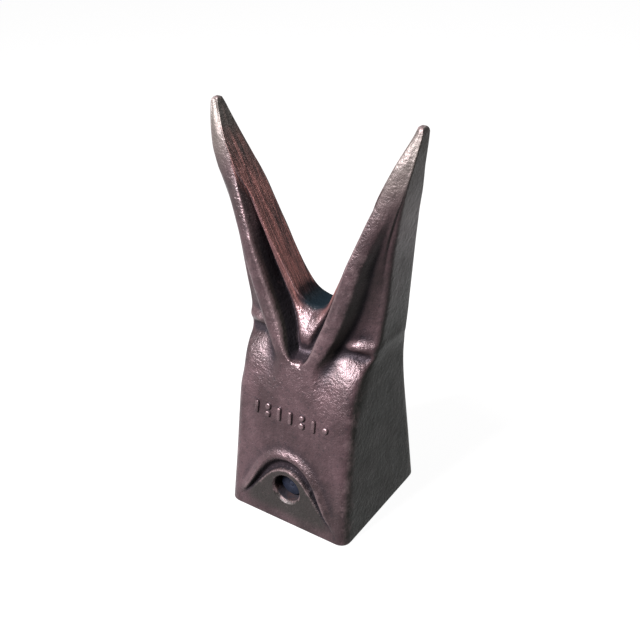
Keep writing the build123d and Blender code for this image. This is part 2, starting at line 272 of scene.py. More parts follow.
def gapEdge(height):
    # the gap's outline as a path that starts at the crotch and has used the same share of its length
    # as the height has of the prong: round the crotch first, then straight up the wall
    share = (height - forging["crotch"]) / (forging["height"] - forging["crotch"])
    along = np.clip(share, 0, None) * (arcLength + straightLength)
    turn = np.minimum(along, arcLength) / forging["crotchRadius"]
    further = np.maximum(along - arcLength, 0)
    x = forging["crotchRadius"] * np.sin(turn) + further * math.cos(gapSlope)
    z = (forging["crotch"] + forging["crotchRadius"] * (1 - np.cos(turn))
         + further * math.sin(gapSlope))
    below = height < forging["crotch"]
    return np.where(below, 0.0, x), np.where(below, height, z)


def sectionGrid():
    # rows of heights by columns round the half section; a column keeps to one feature all the way up,
    # and a row starts level with the gap's outline and ends level at the side
    rows = [np.arange(a, b - 1e-6, (b - a) / round((b - a) / step)) for a, b, step in forging["rows"]]
    height = np.concatenate(rows + [[forging["height"]]])
    edgeX, edgeZ = gapEdge(height)
    drop = edgeZ - height
    zRim, zRib, zChannel, zRail, zBand, zHollow = (height + drop * k for k in (1, 0.92, 0.8, 0.6, 0.4, 0.2))
    side = table("corner", height)
    front, rear = table("corner", height, 2), table("corner", height, 3)
    radius = table("cornerRound", height)
    rimX = edgeX + 0.5
    ribX = np.maximum(table("rib", zRib), rimX + 0.25)
    channelX = np.maximum(table("channel", zChannel), ribX + 0.25)
    railX = np.maximum(table("rail", zRail), channelX + 0.25)
    bandX = np.maximum(table("band", zBand), railX + 0.4)
    hollowX = np.maximum(table("hollow", zHollow), bandX + 0.25)
    lobeX = np.maximum(table("lobe", height), hollowX + 0.25)
    cornerX = np.maximum(side - radius, lobeX + 0.15)
    rearLobeX = np.clip(table("rearLobe", height), railX + 0.3, cornerX - 0.3)
    cut = 0.5 * smoothStep(120, 150, height)
    knots = [
        (edgeX, -table("rim", edgeZ) + cut, edgeZ),
        (rimX, -table("rim", zRim), zRim),
        (ribX, -table("rib", zRib, 2), zRib),
        (channelX, -table("channel", zChannel, 2), zChannel),
        (railX, -table("rail", zRail, 2), zRail),
        (bandX, -table("band", zBand, 2), zBand),
        (hollowX, -table("hollow", zHollow, 2), zHollow),
        (lobeX, -table("lobe", height, 2), height),
        (cornerX, -front, height),
        (side, -front + radius, height),
        (side, rear - radius, height),
        (cornerX, rear, height),
        (rearLobeX, table("rearLobe", height, 2), height),
        (railX, table("rail", zRail, 3), zRail),
        (channelX, table("channel", zChannel, 3), zChannel),
        (rimX, table("rearRim", zRim), zRim),
        (edgeX, table("rearRim", edgeZ) - cut, edgeZ),
    ]
    stretches = []
    for k, count in enumerate(forging["columns"]):
        a, b = np.stack(knots[k], -1), np.stack(knots[k + 1], -1)
        t = (np.arange(count) / count)[None, :, None]
        piece = a[:, None, :] * (1 - t) + b[:, None, :] * t
        if k == 4:  # the band is crowned
            piece[:, :, 1] -= table("crown", height)[:, None] * 4 * t[:, :, 0] * (1 - t[:, :, 0])
        if k in (8, 10):  # corner: quarter round about the point a radius in from both faces
            turn = 0.5 * math.pi * t[:, :, 0]
            if k == 10:
                turn = 0.5 * math.pi - turn
            sign = -1.0 if k == 8 else 1.0
            face = front if k == 8 else rear
            wide = (side - cornerX)[:, None]
            piece[:, :, 0] = cornerX[:, None] + wide * np.sin(turn)
            piece[:, :, 1] = sign * (face[:, None] - radius[:, None] * (1 - np.cos(turn)))
        stretches.append(piece)
    stretches.append(np.stack(knots[-1], -1)[:, None, :])
    return height, np.concatenate(stretches, axis=1)


def mirroredBlur(grid, spread):
    # blur round the section as if the other half were there, so the middle stays smooth below the crotch
    flipped = grid[:, ::-1] * np.array([-1.0, 1.0, 1.0])
    whole = np.concatenate([flipped[:, :-1], grid, flipped[:, 1:]], axis=1)
    half = grid.shape[1] - 1
    return blurAlong(whole, spread, 1)[:, half:half + grid.shape[1]]


height, grid = sectionGrid()
soft = mirroredBlur(grid, 0.95)
keepEdge = smoothStep(forging["crotch"] - 1, forging["crotch"] + 1, height)[:, None]
column = np.arange(grid.shape[1])
nearEnd = np.minimum(column, column[::-1])[None, :]
hold = keepEdge * (1 - smoothStep(0, 4, nearEnd.astype(float)))  # the gap's edge stays where it is
grid = soft * (1 - hold[:, :, None]) + grid * hold[:, :, None]
broad = mirroredBlur(grid, 3.2)
shoulderRows = smoothStep(84, 98, height) * (1 - smoothStep(116, 121, height))
fromBand = sum(forging["columns"][:5])
toCorner = sum(forging["columns"][:9])
shoulderColumns = (smoothStep(fromBand - 2, fromBand + 6, column)
                   * (1 - smoothStep(toCorner, toCorner + 4, column)))
mix = (shoulderRows[:, None] * shoulderColumns[None])[:, :, None]
grid = grid * (1 - mix) + broad * mix
fine = blurAlong(grid, 0.9, 0)
aboveMouth = height[:, None, None] > 4
fromCrotch = np.abs(height - forging["crotch"])[:, None, None]
mixUp = smoothStep(2, 6, fromCrotch) * aboveMouth
grid = fine * mixUp + grid * (1 - mixUp)
grid[:, 0, 0] = gapEdge(height)[0]
grid[:, -1, 0] = gapEdge(height)[0]

# Each prong's root carries a small swelling with a crease under it, which runs down from the band outwards.
root = {"bumpAt": (39.0, 127.6), "bumpSize": (8.5, 3.6), "bumpHigh": 2.2,
        "creaseFrom": (26.0, 125.0), "creaseSlope": -0.29, "creaseWide": 3.2, "creaseDeep": 0.7}
alongX, alongZ = grid[:, :, 0], grid[:, :, 2]
swell = root["bumpHigh"] * bump(alongX, root["bumpAt"][0], root["bumpSize"][0]) \
    * bump(alongZ, root["bumpAt"][1], root["bumpSize"][1])
creaseZ = root["creaseFrom"][1] + root["creaseSlope"] * (alongX - root["creaseFrom"][0])
crease = root["creaseDeep"] * bump(alongZ, creaseZ, root["creaseWide"]) \
    * smoothStep(20, 27, alongX) * (1 - smoothStep(42, 48, alongX))
frontColumns = (column < toCorner + 5)[None, :]
grid[:, :, 1] -= np.where(frontColumns, swell - crease, 0.0)
sideColumns = ((column > toCorner) & (column < toCorner + 14))[None, :]
grid[:, :, 0] += np.where(sideColumns, 0.5 * swell, 0.0)
print("sections", grid.shape)

# Eyebrow ridge, groove and flat pad round each pin bore, as heights on the face.
brow = {
    "crest": [(0, 48.6), (6, 48.0), (12.5, 44.8), (18.2, 39.6), (22.4, 33.2), (25.6, 26.6), (28.8, 20.6),
              (32.6, 14.4), (36.4, 9.0), (40, 4.4)],
    "rim": [(0, 40.0), (5, 39.0), (11, 35.6), (15.8, 31.0), (20.0, 26.0), (24.2, 20.8), (28.6, 15.0),
            (34.0, 9.2), (39, 4.2)],
    "crestHigh": 2.3,
    "grooveDeep": 2.0,
    "padLean": 0.0645,
    "padFoot": 8.8,
}


def distanceTo(points, line):
    # signed distance in the face plane to a curve mirrored about x = 0, positive above or outside it
    line = np.array(line, float)
    t = np.linspace(0, 1, 160)
    way = np.linspace(0, 1, len(line))
    x, z = steadyCurve(way, line[:, 0], t), steadyCurve(way, line[:, 1], t)
    far = np.hypot(points[:, None, 0] - x, points[:, None, 1] - z)
    near = far.argmin(1)
    above = points[:, 1] > np.interp(points[:, 0], x, z)
    return np.where(above, 1.0, -1.0) * far[np.arange(len(points)), near]


def browHeight(x, z):
    # outside the crest a soft bell falls to the face; inside it the wall drops into the groove, and the
    # pad, which leans less than the face, steps out of it; all of it fades out towards the mouth
    points = np.stack([np.abs(x), z], -1)
    toCrest = distanceTo(points, brow["crest"])
    toRim = distanceTo(points, brow["rim"])
    gap = np.maximum(toRim - toCrest, 0.05)
    g = np.clip(toRim / gap, 0, 1)
    fade = smoothStep(7.0, 19.0, z)
    wide = smoothStep(1.0, 5.0, gap)
    deep = brow["grooveDeep"] * wide * fade
    high = brow["crestHigh"] * (0.06 + 0.94 * fade)
    outside = high * np.exp(-(np.maximum(toCrest, 0) / 3.6) ** 2)
    rise = brow["padLean"] * (z - brow["padFoot"])
    pad = 0.5 * (rise + np.sqrt(rise ** 2 + 0.06))
    wall = -deep + (high + deep) * smoothStep(0.34, 1.0, g) ** 0.9
    step = smoothStep(0.0, 0.8, toRim)
    inGroove = pad * (1 - step) + wall * step
    rounded = pad - 0.35 * (1 - smoothStep(0.0, 0.9, -toRim)) * fade
    return np.where(toCrest > 0, outside, np.where(toRim > 0, inGroove, rounded))


flatShape = grid.reshape(-1, 3)
onFront = (flatShape[:, 2] < 66) & (flatShape[:, 1] < -20) & (flatShape[:, 0] < 44)
onRear = (flatShape[:, 2] < 66) & (flatShape[:, 1] > 20) & (flatShape[:, 0] < 44)
raised = np.zeros(len(flatShape))
for where in (onFront, onRear):
    raised[where] = browHeight(flatShape[where, 0], flatShape[where, 2])
fadeCorner = 1 - smoothStep(38.5, 43.5, flatShape[:, 0])
raised *= fadeCorner
flatShape[:, 1] += np.where(onFront, -1, 1) * raised * 0.99
flatShape[:, 2] += np.where(onFront, 0.14, 0.085) * raised * 0.5
grid = flatShape.reshape(grid.shape)
print("brow")

# The mouth's outer edge and the two tips are rounded by extra rows that close in.
turn = np.linspace(0, 0.5 * math.pi, 6)[:-1]
first = grid[height > forging["mouthRound"]][0]
inset = forging["mouthRound"] * (1 - np.sin(turn))
mouthRows = first[None] * np.stack([1 - inset / 46, 1 - inset / 46, 0 * inset], -1)[:, None, :]
mouthRows[:, :, 2] = (forging["mouthRound"] * (1 - np.cos(turn)))[:, None]
keep = (height > forging["mouthRound"]) & (height < forging["height"] - forging["tipRound"])
height = np.concatenate([mouthRows[:, 0, 2], height[keep]])
grid = np.concatenate([mouthRows, grid[keep]], axis=0)
split = int(np.argmin(np.abs(height - forging["crotch"])))
rowCount, columnCount = grid.shape[:2]

q = np.linspace(0, 1, forging["wallColumns"] + 1)
ease = 0.5 - 0.5 * np.cos(math.pi * q)
q = 0.55 * q + 0.45 * ease  # closer together at the two edges
wall = grid[split:, :1] * (1 - q[None, :, None]) + grid[split:, -1:] * q[None, :, None]
wall = wall[:, ::-1]  # from the rear edge to the front one, so the loop goes on the same way round
partingLine = 0.35 * bump(q[::-1], 0.5, 0.05)[None, :] * smoothStep(8, 25, height[split:] - 141)[:, None]
wall[:, :, 0] -= partingLine * math.sin(gapSlope)
wall[:, :, 2] += partingLine * math.cos(gapSlope)

outerFaces = gridFaces(rowCount, columnCount)
wallFaces = gridFaces(*wall.shape[:2], start=rowCount * columnCount)
points = np.concatenate([grid.reshape(-1, 3), wall.reshape(-1, 3)])
quads = np.concatenate([outerFaces, wallFaces])

loop = np.concatenate([grid[-1, :-1], wall[-1, :-1]])
middle = loop.mean(0)
turn = np.linspace(0, 0.5 * math.pi, 6)[1:]
tip = middle + (loop - middle)[None] * np.cos(turn)[:, None, None]
tip[:, :, 2] += (forging["tipRound"] * np.sin(turn))[:, None]
tip = np.concatenate([loop[None], tip])
quads = np.concatenate([quads, gridFaces(len(tip), len(loop), start=len(points), closed=True)])
points = np.concatenate([points, tip.reshape(-1, 3)])
half = len(points)
points = np.concatenate([points, points * [-1.0, 1.0, 1.0]])
quads = np.concatenate([quads, quads[:, ::-1] + half])

tooth = newMesh("toothForging", points * mm, quads)
base = np.arange(columnCount)
ring = np.concatenate([base, (base + half)[::-1][1:-1]])
work = bmesh.new()
work.from_mesh(tooth.data)
work.verts.ensure_lookup_table()
work.faces.new([work.verts[int(k)] for k in ring])
bmesh.ops.remove_doubles(work, verts=work.verts, dist=2e-5)
bmesh.ops.dissolve_degenerate(work, edges=work.edges, dist=1e-6)
bmesh.ops.recalc_face_normals(work, faces=work.faces)
work.to_mesh(tooth.data)
work.free()

# Round the edges of the gap by moving points towards the mean of their neighbours, most beside the edge.
edgeLine = np.concatenate([grid[split:, 0], grid[split:, -1]])
edgeLine = np.concatenate([edgeLine, edgeLine * [-1.0, 1.0, 1.0]])
tree = kdtree.KDTree(len(edgeLine))
for k, p in enumerate(edgeLine):
    tree.insert(p, k)
tree.balance()
points = readPoints(tooth.data) / mm
nearGap = points[:, 2] > 132
toEdge = np.full(len(points), 99.0)
toEdge[nearGap] = [tree.find(p)[2] for p in points[nearGap]]
edges = readEdges(tooth.data)
weight = (0.5 * (1 - smoothStep(1.2, 3.4, toEdge)))[:, None]
for _ in range(14):
    points += weight * (neighbourMean(points, edges, len(points)) - points)
crotchZone = (0.5 * bump(points[:, 2], 141, 12) * bump(points[:, 0], 0, 16))[:, None]
for _ in range(5):
    points += crotchZone * (neighbourMean(points, edges, len(points)) - points)
writePoints(tooth.data, points * mm)
print("forging closed", len(tooth.data.polygons))


def roundedLoop(width, depth, radius, shift, perCorner=10, perSide=10):
    # straight sides joined by quarter circles, counter-clockwise
    parts = []
    cx, cy = width / 2 - radius, depth / 2 - radius
    corners = [(cx, cy), (-cx, cy), (-cx, -cy), (cx, -cy)]
    for k, (x, y) in enumerate(corners):
        a = 0.5 * math.pi * (k + np.linspace(0, 1, perCorner))
        arc = np.stack([x + radius * np.cos(a), y + radius * np.sin(a)], -1)
        nx, ny = corners[(k + 1) % 4]
        b = 0.5 * math.pi * (k + 1)
        end = np.array([nx + radius * math.cos(b), ny + radius * math.sin(b)])
        t = np.linspace(0, 1, perSide + 1)[1:-1, None] if perSide > 1 else np.zeros((0, 1))
        parts += [arc, arc[-1] * (1 - t) + end * t]
    loop = np.concatenate(parts)
    return loop + [0.0, shift]


socket = {"mouth": (62.0, 60.0), "end": (40.0, 20.0), "length": 88.0, "corner": 6.0, "shift": 2.0,
          "lip": 1.2, "endRound": 4.0}


def socketCutter():
    # a rounded rectangle that shrinks evenly with height, flared at the mouth and rounded in at the end
    loops = []
    heights = [-3.0, -0.001, 0.4, socket["lip"]] + list(np.linspace(6, socket["length"] - 4, 26))
    for z in heights:
        share = max(z, 0) / socket["length"]
        flare = max(0.0, socket["lip"] - max(z, 0))
        w = socket["mouth"][0] + share * (socket["end"][0] - socket["mouth"][0]) + 2 * flare
        d = socket["mouth"][1] + share * (socket["end"][1] - socket["mouth"][1]) + 2 * flare
        xy = roundedLoop(w, d, socket["corner"], share * socket["shift"])
        loops.append(np.column_stack([xy, np.full(len(xy), z)]))
    top = loops[-1]
    centre = np.array([0, socket["shift"], 0.0])
    for a in np.linspace(0, 0.5 * math.pi, 6)[1:]:
        inset = socket["endRound"] * (1 - math.cos(a))
        ring = top.copy()
        ring[:, 0] *= 1 - inset / 20
        ring[:, 1] = centre[1] + (ring[:, 1] - centre[1]) * (1 - inset / 10)
        ring[:, 2] = top[0, 2] + socket["endRound"] * math.sin(a)
        loops.append(ring)
    rough = np.concatenate(loops)
    rough[:, :2] += 0.25 * np.stack([lumpiness(rough, 5, 17.0), lumpiness(rough, 6, 17.0)], -1) \
        * smoothStep(3, 12, rough[:, 2])[:, None]
    count = len(loops[0])
    piece = newMesh("socketCutter", rough * mm, gridFaces(len(loops), count, closed=True))
    work = bmesh.new()
    work.from_mesh(piece.data)
    work.verts.ensure_lookup_table()
    work.faces.new([work.verts[k] for k in range(count)])
    work.faces.new([work.verts[k] for k in range((len(loops) - 1) * count, len(loops) * count)])
    bmesh.ops.recalc_face_normals(work, faces=work.faces)
    work.to_mesh(piece.data)
    work.free()
    return piece


def turnedShape(name, profile, centre, segments=96, closedProfile=False):
    # profile of (distance along Y, radius) spun about the line through centre parallel to Y
    profile = np.array(profile, float)
    a = np.linspace(0, 2 * math.pi, segments, endpoint=False)
    ring = np.stack([np.cos(a), 0 * a, np.sin(a)], -1)
    pts = profile[:, None, 1:2] * ring[None] + np.array([0, 1.0, 0]) * profile[:, None, 0:1]
    pts = pts + np.array(centre, float)
    rows = len(profile)
    quads = gridFaces(rows, segments, closed=True)
    if closedProfile:
        last = np.arange(segments)
        following = (last + 1) % segments
        start = (rows - 1) * segments
        quads = np.concatenate([quads, np.stack([start + last, start + following, following, last], -1)])
    piece = newMesh(name, pts.reshape(-1, 3) * mm, quads)
    work = bmesh.new()
    work.from_mesh(piece.data)
    bmesh.ops.remove_doubles(work, verts=work.verts, dist=1e-6)
    bmesh.ops.dissolve_degenerate(work, edges=work.edges, dist=1e-7)
    bmesh.ops.recalc_face_normals(work, faces=work.faces)
    work.to_mesh(piece.data)
    work.free()
    return piece


pin = {"height": 26.0, "bore": 9.5, "boreChamfer": 0.8, "padY": 42.75, "padRearY": 44.4}
flare = pin["bore"] + pin["boreChamfer"]
boreCutter = turnedShape("boreCutter", [
    (-60, 0), (-60, flare + 1.0), (-pin["padY"] - 1.0, flare + 1.0), (-pin["padY"] + 0.5, flare - 0.4),
    (-pin["padY"] + 1.6, pin["bore"] + 0.15), (-pin["padY"] + 2.4, pin["bore"]),
    (pin["padRearY"] - 2.4, pin["bore"]), (pin["padRearY"] - 1.6, pin["bore"] + 0.15),
    (pin["padRearY"] - 0.5, flare - 0.4), (pin["padRearY"] + 1.0, flare + 1.0),
    (60, flare + 1.0), (60, 0)], (0, 0, pin["height"]), segments=128)
for cutter in (socketCutter(), boreCutter):
    cut = tooth.modifiers.new("cut", "BOOLEAN")
    cut.object = cutter
    cut.operation = "DIFFERENCE"
    cut.solver = "EXACT"
    bpy.context.view_layer.objects.active = tooth
    bpy.ops.object.modifier_apply(modifier=cut.name)
    bpy.data.objects.remove(cutter)
weld(tooth, 1e-6, outward=False)
print("socket and bore cut", len(tooth.data.polygons))

# Foundry marks: plain bars and dots raised on the front face, each a low loaf with a flared foot.
marks = {"height": 76.5, "step": 8.6, "tall": 8.6, "bar": 2.8, "dot": 2.1, "rise": 1.5, "foot": 0.7,
         "bars": [-3, -1, 0, 2], "dots": [(-2, 1), (-2, -1), (1, 1), (1, -1), (3, 0)]}


def markPatch(x, z, halfTall, halfWide):
    # a stadium outline grown in rings: flat top, rounded shoulder, slope, flared foot under the face
    a = np.linspace(0, 2 * math.pi, 40, endpoint=False)
    straight = max(halfTall - halfWide, 0.0)
    unit = np.stack([np.cos(a), np.sin(a)], -1)
    offset = np.stack([0 * a, np.where(np.sin(a) >= 0, straight, -straight)], -1)
    rings = [(0.0, 1.0), (halfWide * 0.45, 1.0), (halfWide * 0.78, 0.95), (halfWide * 0.95, 0.72),
             (halfWide + 0.08, 0.36), (halfWide + 0.4 * marks["foot"], 0.08),
             (halfWide + marks["foot"], -0.12),
             (halfWide + marks["foot"], -0.9)]
    rows = [np.column_stack([unit * r + offset * (1 if r else 0.96) + [x, z], np.full(len(a), h)])
            for r, h in rings]
    rows = rows + [np.column_stack([np.tile([x, z], (len(a), 1)), np.full(len(a), -0.9)])]
    rows[0][:, 0] = x
    return np.concatenate(rows), gridFaces(len(rows), len(a), closed=True)


markPoints, markQuads = [], []
total = 0
shapes = [(k * marks["step"], marks["height"], marks["tall"] / 2, marks["bar"] / 2) for k in marks["bars"]]
shapes += [(k * marks["step"], marks["height"] + side * marks["tall"] * 0.3, marks["dot"], marks["dot"])
           for k, side in marks["dots"]]
for x, z, tallHalf, wideHalf in shapes:
    points, quads = markPatch(x, z, tallHalf, wideHalf)
    markPoints.append(points)
    markQuads.append(quads + total)
    total += len(points)
markPoints = np.concatenate(markPoints)
wobble = np.column_stack([lumpiness(markPoints, 31, 4.0), lumpiness(markPoints, 32, 4.0)])
markPoints[:, :2] += 0.10 * wobble
centreY = table("rim", markPoints[:, 1])
sideY = table("lobe", markPoints[:, 1], 2)
sideShare = np.clip(np.abs(markPoints[:, 0]) / 33.0, 0, 1) ** 2
faceY = -(centreY * (1 - sideShare) + sideY * sideShare)
markPoints = np.column_stack([markPoints[:, 0], faceY - marks["rise"] * markPoints[:, 2],
                              markPoints[:, 1] + 0.15 * markPoints[:, 2]])
tally = newMesh("tallyMarks", markPoints * mm, np.concatenate(markQuads))
weld(tally, 2e-6)
points = readPoints(tally.data) / mm
sideShare = np.clip(np.abs(points[:, 0]) / 33.0, 0, 1) ** 2
faceY = -(table("rim", points[:, 2]) * (1 - sideShare) + table("lobe", points[:, 2], 2) * sideShare)
above = (faceY - points[:, 1]) / marks["rise"]
# painted shadow round each mark's foot, and a painted highlight on its top rim through the edge-wear mask
markShadeAndHighlight = {"hollow": 0.8 * smoothStep(0.45, 0.0, above),
             "edgeWear": 0.35 * smoothStep(0.5, 0.9, above)}
for name, values in markShadeAndHighlight.items():
    tally.data.attributes.new(name, "FLOAT", "POINT").data.foreach_set("value", values.astype(np.float32))
print("foundry marks", len(tally.data.polygons))

# Lock pin and the washer that holds it, turned about the bore's axis.
lockPin = turnedShape("lockPin", [
    (-37.0, 0.0), (-37.0, 1.2), (-36.6, 1.7), (-36.9, 2.4), (-37.0, 3.2), (-37.0, 7.4), (-36.75, 7.9),
    (-35.9, 8.8), (-35.4, 9.3), (-34.6, 9.44), (-30, 9.45), (-20, 9.45), (-10, 9.45), (0, 9.45), (10, 9.45),
    (15.35, 9.45), (15.5, 9.3), (15.55, 8.2), (15.8, 7.97), (17.2, 7.95), (18.6, 7.97), (18.85, 8.2),
    (18.9, 9.3), (19.05, 9.45), (25, 9.45), (30, 9.45), (34.6, 9.44), (35.4, 9.3), (35.9, 8.8),
    (36.75, 7.9), (37.0, 7.4), (37.0, 3.2), (36.9, 2.4), (36.6, 1.7), (37.0, 1.2), (37.0, 0.0)],
    (0, 0, pin["height"]), segments=128)

washer = {"front": 13.21, "length": 8.0}
w0, w1 = washer["front"], washer["front"] + washer["length"]
shell = turnedShape("retainerShell", [
    (w0, 14.0), (w0, 15.2), (w0 + 0.3, 15.5), (w0 + 4, 15.5), (w1 - 1.6, 15.5), (w1 - 0.9, 15.3),
    (w1 - 0.3, 14.9), (w1, 14.3), (w1, 13.4), (w1, 11.5), (w1 - 0.15, 11.2), (w1 - 1.0, 11.15),
    (w1 - 1.2, 11.3), (w1 - 1.2, 12.6), (w1 - 1.3, 13.6), (w1 - 1.6, 13.9), (w1 - 4, 13.9), (w0 + 1, 13.9)],
    (0, 0, pin["height"]), segments=112, closedProfile=True)
cushion = turnedShape("retainerCushion", [
    (w0 + 0.1, 13.86), (w0, 13.5), (w0 - 0.05, 12.2), (w0, 10.6), (w0 + 0.25, 10.1), (w0 + 0.7, 9.96),
    (w0 + 1.5, 9.96), (w0 + 2.35, 9.98), (w0 + 2.48, 10.2), (w0 + 2.5, 10.96), (w0 + 4.0, 11.0),
    (w0 + 5.5, 10.96), (w0 + 5.52, 10.2), (w0 + 5.65, 9.98), (w0 + 6.3, 9.96), (w0 + 6.65, 10.2),
    (w0 + 6.75, 11.6), (w0 + 6.7, 13.6), (w0 + 6.5, 13.86), (w0 + 3.4, 13.88)],
    (0, 0, pin["height"]), segments=112, closedProfile=True)

ring = {"wire": 1.46, "middle": 9.46, "gapHalf": 0.34, "alongY": 17.21}
turn = np.linspace(ring["gapHalf"], 2 * math.pi - ring["gapHalf"], 100) - 0.5 * math.pi
shape = np.linspace(0, 2 * math.pi, 20, endpoint=False)
squash = [np.sign(wave) * np.abs(wave) ** 0.7 for wave in (np.cos(shape), np.sin(shape))]
ends = np.ones(len(turn) + 4)
ends[:2], ends[-2:] = (0.0, 0.82), (0.82, 0.0)
turn = np.concatenate([[turn[0]] * 2, turn, [turn[-1]] * 2])
radial = ring["middle"] + ring["wire"] * ends[:, None] * squash[0][None, :]
ringPoints = np.stack([radial * np.cos(turn)[:, None],
                       ring["alongY"] + ring["wire"] * ends[:, None] * squash[1][None, :],
                       pin["height"] + radial * np.sin(turn)[:, None]], -1)
springRing = newMesh("springRing", ringPoints.reshape(-1, 3) * mm,
                     gridFaces(len(turn), len(shape), closed=True))
weld(springRing, 1e-6)
print("pin set", len(lockPin.data.polygons), len(shell.data.polygons), len(cushion.data.polygons))

for poly in tooth.data.polygons:
    poly.use_smooth = True
tooth.data.set_sharp_from_angle(angle=math.radians(40))
for piece in (tally, lockPin, shell, cushion, springRing):
    for poly in piece.data.polygons:
        poly.use_smooth = True
    piece.data.set_sharp_from_angle(angle=math.radians(50))

# What each point of the forging is: an edge, a hollow, the gap's wall, a point's tip, the pad, the inside.
# Several of these masks also carry painted light: shade in hollows, the pocket, the brow's groove, the
# crotch, the bore, the pad and on side faces, and a highlight along the rails and band.
points = readPoints(tooth.data) / mm
edges = readEdges(tooth.data)
normals = np.empty(len(points) * 3)
tooth.data.vertex_normals.foreach_get("vector", normals)
normals = normals.reshape(-1, 3)
spread = points.copy()
for _ in range(5):
    spread = 0.5 * spread + 0.5 * neighbourMean(spread, edges, len(points))
bend = ((points - spread) * normals).sum(1)[:, None]
wide = bend.copy()
for _ in range(3):
    bend = 0.5 * bend + 0.5 * neighbourMean(bend, edges, len(points))
for _ in range(30):
    wide = 0.5 * wide + 0.5 * neighbourMean(wide, edges, len(points))
bend, wide = bend[:, 0], wide[:, 0]
x, y, z = points.T
share = np.clip(z / socket["length"], 0, 1)
inSocket = ((np.abs(x) < 31.9 - 11 * share) & (np.abs(y - 2 * share) < 30.9 - 20 * share)
            & (z < socket["length"] + 1)).astype(float)
inBore = (np.hypot(x, z - pin["height"]) < pin["bore"] + 0.25).astype(float)
inside = np.clip(inSocket + inBore, 0, 1)
wallWay = -np.sign(x) * math.sin(gapSlope) * normals[:, 0] + math.cos(gapSlope) * normals[:, 2]
past = (np.abs(x) - forging["crotchRadius"] * math.sin(gapSlope)) * math.sin(gapSlope) \
    - (z - forging["crotch"] - forging["crotchRadius"] * (1 - math.cos(gapSlope))) * math.cos(gapSlope)
onWall = (smoothStep(1.6, 0.8, past) * smoothStep(0.72, 0.95, wallWay)
          * smoothStep(140, 150, z) * smoothStep(262, 235, z))
padShadeMask = np.zeros(len(points))
near = (z < 46) & (np.abs(y) > 30) & (np.abs(x) < 42)
padShadeMask[near] = smoothStep(1.6, -0.6, distanceTo(np.stack([np.abs(x), z], -1)[near], brow["rim"]))
inGroove = np.zeros(len(points))
faceXZ = np.stack([np.abs(x), z], -1)[near]
# painted shadow: the groove under the brow's crest, as if the crest shaded it
crestShadow = smoothStep(0.6, -1.2, distanceTo(faceXZ, brow["crest"]))
inGroove[near] = smoothStep(-0.3, 0.8, distanceTo(faceXZ, brow["rim"])) * crestShadow
inGroove *= smoothStep(8, 17, z)
padShadeMask *= smoothStep(3, 11, z) * smoothStep(36, 26, np.abs(x))
# painted shade: the pocket's cup and the valleys beside the rib, where they lie deep and face sideways
cupShade = bump(z, 115, 8) * bump(x, 0, 12) * smoothStep(-27.1, -25.6, y) * smoothStep(-8, -14, y)
recess = table("rail", z, 2) + y
across = (smoothStep(0.5, 3.0, np.abs(x) - table("rib", z))
          * smoothStep(1.5, -0.5, np.abs(x) - table("rail", z)))
cupShade += across * smoothStep(1.5, 6.0, recess) * smoothStep(110, 113, z) * smoothStep(215, 175, z) * (y < 0)
onFront = (y < 0) * smoothStep(111, 113, z) * smoothStep(222, 195, z)
toGapEdge = np.full(len(points), 99.0)
toGapEdge[z > 136] = [tree.find(p)[2] for p in points[z > 136]]
# rubbed lines along the rails and the gap's front edge; the line along the band's middle is a painted
# highlight on its convex crown
railWearAndHighlight = 0.55 * bump(np.abs(x) - table("rail", z), 0, 0.9) * onFront * (recess < 3)
railWearAndHighlight += 0.16 * bump(np.abs(x) - 0.5 * (table("rail", z) + table("band", z)), 0, 2.2) * onFront
railWearAndHighlight += 0.7 * bump(toGapEdge, 0, 0.9) * (y < 0) * smoothStep(190, 150, z)
facts = {
    "strip": (bump(np.abs(x) - table("rib", z) + 1.4, 0, 2.0) * (y < 0)
              * smoothStep(132, 146, z) * smoothStep(215, 190, z)),
    "edgeWear": np.clip(bend * 2.4 - 0.12 + railWearAndHighlight, 0, 1) * (1 - inside),
    # bore: the pin bore's wall, which gets painted shade below
    "bore": inBore,
    "ridge": np.clip(wide * 8.0 - 0.1, 0, 1) * (1 - inside),
    # hollow: painted shade in concave places, the pocket and the brow's groove
    "hollow": np.clip(-wide * 15.0 - bend * 2.0 + cupShade + 0.75 * inGroove, 0, 1),
    "inside": inside,
    "gapWall": onWall,
    "tipWear": smoothStep(196, 258, z + 6 * lumpiness(points, 41, 30.0)),
    # faces turned to the sides, which get painted shade in the colour below
    "sideFaceShade": smoothStep(0.55, 0.95, np.abs(normals[:, 0])) * smoothStep(200, 120, z),
    # pad: the flat pad round the bore, where painted shade goes in the colour below
    "pad": padShadeMask,
    # crotch: the crotch's floor, painted dark as shade and reflection
    "crotch": bump(z, 141, 9) * bump(x, 0, 14) * smoothStep(-9, -3, y),
}
for name, values in facts.items():
    layer = tooth.data.attributes.new(name, "FLOAT", "POINT")
    layer.data.foreach_set("value", values.astype(np.float32))
place = tooth.data.attributes.new("wallPlace", "FLOAT_VECTOR", "POINT")
lengthwise = z / math.sin(gapSlope)
alongWall = np.column_stack([y, 0.045 * lengthwise, 9.0 * np.sign(x)]).astype(np.float32)
place.data.foreach_set("vector", alongWall.ravel())
print("surface facts")


